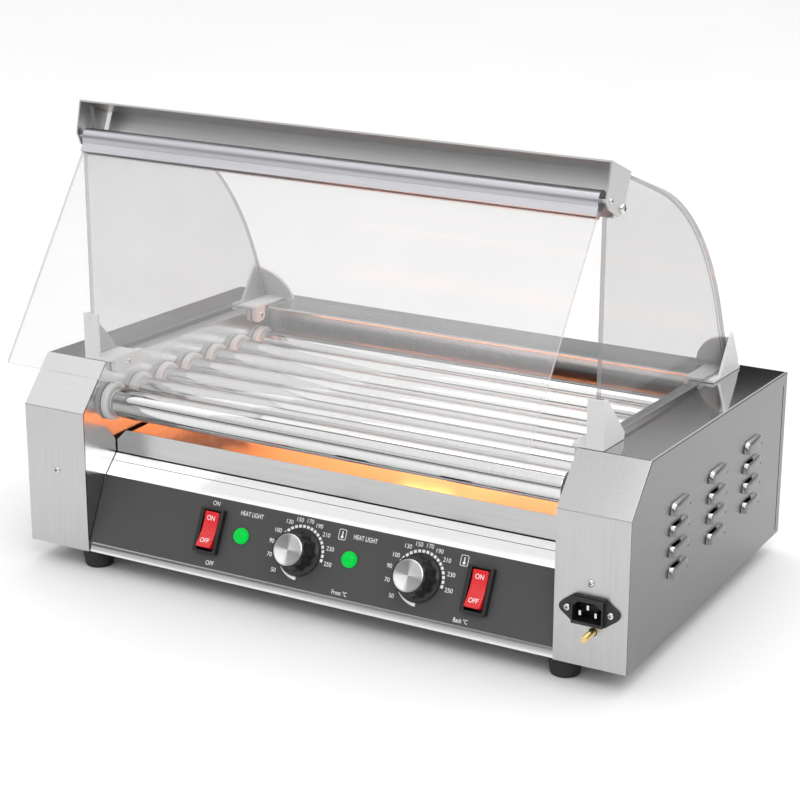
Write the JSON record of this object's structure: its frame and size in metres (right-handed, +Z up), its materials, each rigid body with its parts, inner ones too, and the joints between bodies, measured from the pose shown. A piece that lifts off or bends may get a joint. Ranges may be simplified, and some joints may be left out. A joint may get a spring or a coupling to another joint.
{
  "type": "hot dog roller grill",
  "caption": "Countertop hot dog roller grill: chain-driven heated rollers between two steel housings, curved clear hood with a hinged front flap, drip tray and leaning control panel.",
  "frame": {"origin": "centre of the bounding box in x and y, on the plane the feet stand on", "axes": "+X towards the side with the mains inlet, -Y towards the operator, +Z up"},
  "size_m": [0.588, 0.4304, 0.4146],
  "materials": {
    "stainless": "brushed, mirror-like on the inner walls and deck",
    "chrome_tube": "polished",
    "dark_steel": "oiled",
    "motor_paint": "satin",
    "dark_overlay": "matt printed overlay",
    "black_plastic": "satin",
    "red_plastic": "gloss",
    "green_lens": "translucent lens",
    "white_plastic": "moulded, satin",
    "rubber": "matt",
    "brass": "machined",
    "clear_sheet": "clear, smooth edges",
    "anodised_aluminium": "satin anodised"
  },
  "bodies": {
    "frame": {"base_pan": "stainless", "control_overlay": "dark_overlay", "control_panel": "stainless", "drive_chain": "dark_steel", "earth_stud": "brass", "front_heat_lamp": "green_lens", "gear_motor": "motor_paint", "hood_top_bar": "anodised_aluminium", "left_bushing_1": "white_plastic", "left_bushing_2": "white_plastic", "left_bushing_3": "white_plastic", "left_bushing_4": "white_plastic", "left_bushing_5": "white_plastic", "left_bushing_6": "white_plastic", "left_bushing_7": "white_plastic", "left_front_bracket": "white_plastic", "left_front_cover": "stainless", "left_front_foot": "rubber", "left_hood_glass": "clear_sheet", "left_inner_wall": "stainless", "left_rear_bracket": "white_plastic", "left_rear_foot": "rubber", "left_side_cover": "stainless", "light_switch_bezel": "black_plastic", "mains_inlet": "black_plastic", "power_switch_bezel": "black_plastic", "rear_heat_lamp": "green_lens", "rear_hood_glass": "clear_sheet", "rear_inner_panel": "stainless", "rear_panel": "stainless", "right_bushing_1": "white_plastic", "right_bushing_2": "white_plastic", "right_bushing_3": "white_plastic", "right_bushing_4": "white_plastic", "right_bushing_5": "white_plastic", "right_bushing_6": "white_plastic", "right_bushing_7": "white_plastic", "right_front_bracket": "white_plastic", "right_front_cover": "stainless", "right_front_foot": "rubber", "right_hood_glass": "clear_sheet", "right_inner_wall": "stainless", "right_rear_bracket": "white_plastic", "right_rear_foot": "rubber", "right_side_cover": "stainless"},
    "hood_flap": {"flap_glass": "clear_sheet", "flap_hinge_extrusion": "anodised_aluminium"},
    "front_dial": {"front_knob": "black_plastic"},
    "rear_dial": {"rear_knob": "black_plastic"},
    "power_switch_rocker": {"power_rocker": "red_plastic"},
    "light_switch_rocker": {"light_rocker": "red_plastic"},
    "tray": {"drip_tray": "stainless"},
    "motor_output": {"motor_sprocket": "dark_steel"},
    "roller_assembly_1": {"roller_1": "chrome_tube"},
    "roller_assembly_2": {"roller_2": "chrome_tube"},
    "roller_assembly_3": {"roller_3": "chrome_tube"},
    "roller_assembly_4": {"roller_4": "chrome_tube"},
    "roller_assembly_5": {"roller_5": "chrome_tube"},
    "roller_assembly_6": {"roller_6": "chrome_tube"},
    "roller_assembly_7": {"roller_7": "chrome_tube"}
  },
  "joints": [
    {"name": "flap_hinge", "type": "hinge", "parent": "frame", "child": "hood_flap", "pos_m": [0, -0.09177, 0.383], "axis": [1, 0, 0], "range_deg": [-69, 30.5]},
    {"name": "roller_1_spin", "type": "hinge", "parent": "frame", "child": "roller_assembly_1", "pos_m": [0, -0.09017, 0.1478], "axis": [1, 0, 0], "continuous": true},
    {"name": "roller_2_spin", "type": "hinge", "parent": "frame", "child": "roller_assembly_2", "pos_m": [0, -0.04957, 0.1459], "axis": [1, 0, 0], "continuous": true},
    {"name": "roller_3_spin", "type": "hinge", "parent": "frame", "child": "roller_assembly_3", "pos_m": [0, -0.00897, 0.144], "axis": [1, 0, 0], "continuous": true},
    {"name": "roller_4_spin", "type": "hinge", "parent": "frame", "child": "roller_assembly_4", "pos_m": [0, 0.03163, 0.1421], "axis": [1, 0, 0], "continuous": true},
    {"name": "roller_5_spin", "type": "hinge", "parent": "frame", "child": "roller_assembly_5", "pos_m": [0, 0.07223, 0.1402], "axis": [1, 0, 0], "continuous": true},
    {"name": "roller_6_spin", "type": "hinge", "parent": "frame", "child": "roller_assembly_6", "pos_m": [0, 0.11283, 0.1383], "axis": [1, 0, 0], "continuous": true},
    {"name": "roller_7_spin", "type": "hinge", "parent": "frame", "child": "roller_assembly_7", "pos_m": [0, 0.15343, 0.1364], "axis": [1, 0, 0], "continuous": true},
    {"name": "motor_spin", "type": "hinge", "parent": "frame", "child": "motor_output", "pos_m": [0, 0.03123, 0.08], "axis": [1, 0, 0], "continuous": true},
    {"name": "front_knob_turn", "type": "hinge", "parent": "frame", "child": "front_dial", "pos_m": [-0.0166, -0.11613, 0.05428], "axis": [0, -0.8995, 0.4369], "range_deg": [-135, 135]},
    {"name": "rear_knob_turn", "type": "hinge", "parent": "frame", "child": "rear_dial", "pos_m": [0.098, -0.11591, 0.05473], "axis": [0, -0.8995, 0.4369], "range_deg": [-135, 135]},
    {"name": "power_rocker_tilt", "type": "hinge", "parent": "frame", "child": "power_switch_rocker", "pos_m": [-0.1063, -0.11812, 0.05703], "axis": [1, 0, 0], "range_deg": [0, 16]},
    {"name": "light_rocker_tilt", "type": "hinge", "parent": "frame", "child": "light_switch_rocker", "pos_m": [0.1535, -0.11834, 0.05658], "axis": [1, 0, 0], "range_deg": [0, 16]},
    {"name": "tray_slide", "type": "slide", "parent": "frame", "child": "tray", "axis": [0, -1, 0], "range_m": [0, 0.26]}
  ],
  "couplings": [
    {"joint": "roller_2_spin", "follows": "roller_1_spin", "ratio": 1},
    {"joint": "roller_3_spin", "follows": "roller_1_spin", "ratio": 1},
    {"joint": "roller_4_spin", "follows": "roller_1_spin", "ratio": 1},
    {"joint": "roller_5_spin", "follows": "roller_1_spin", "ratio": 1},
    {"joint": "roller_6_spin", "follows": "roller_1_spin", "ratio": 1},
    {"joint": "roller_7_spin", "follows": "roller_1_spin", "ratio": 1},
    {"joint": "motor_spin", "follows": "roller_1_spin", "ratio": 1.25}
  ]
}
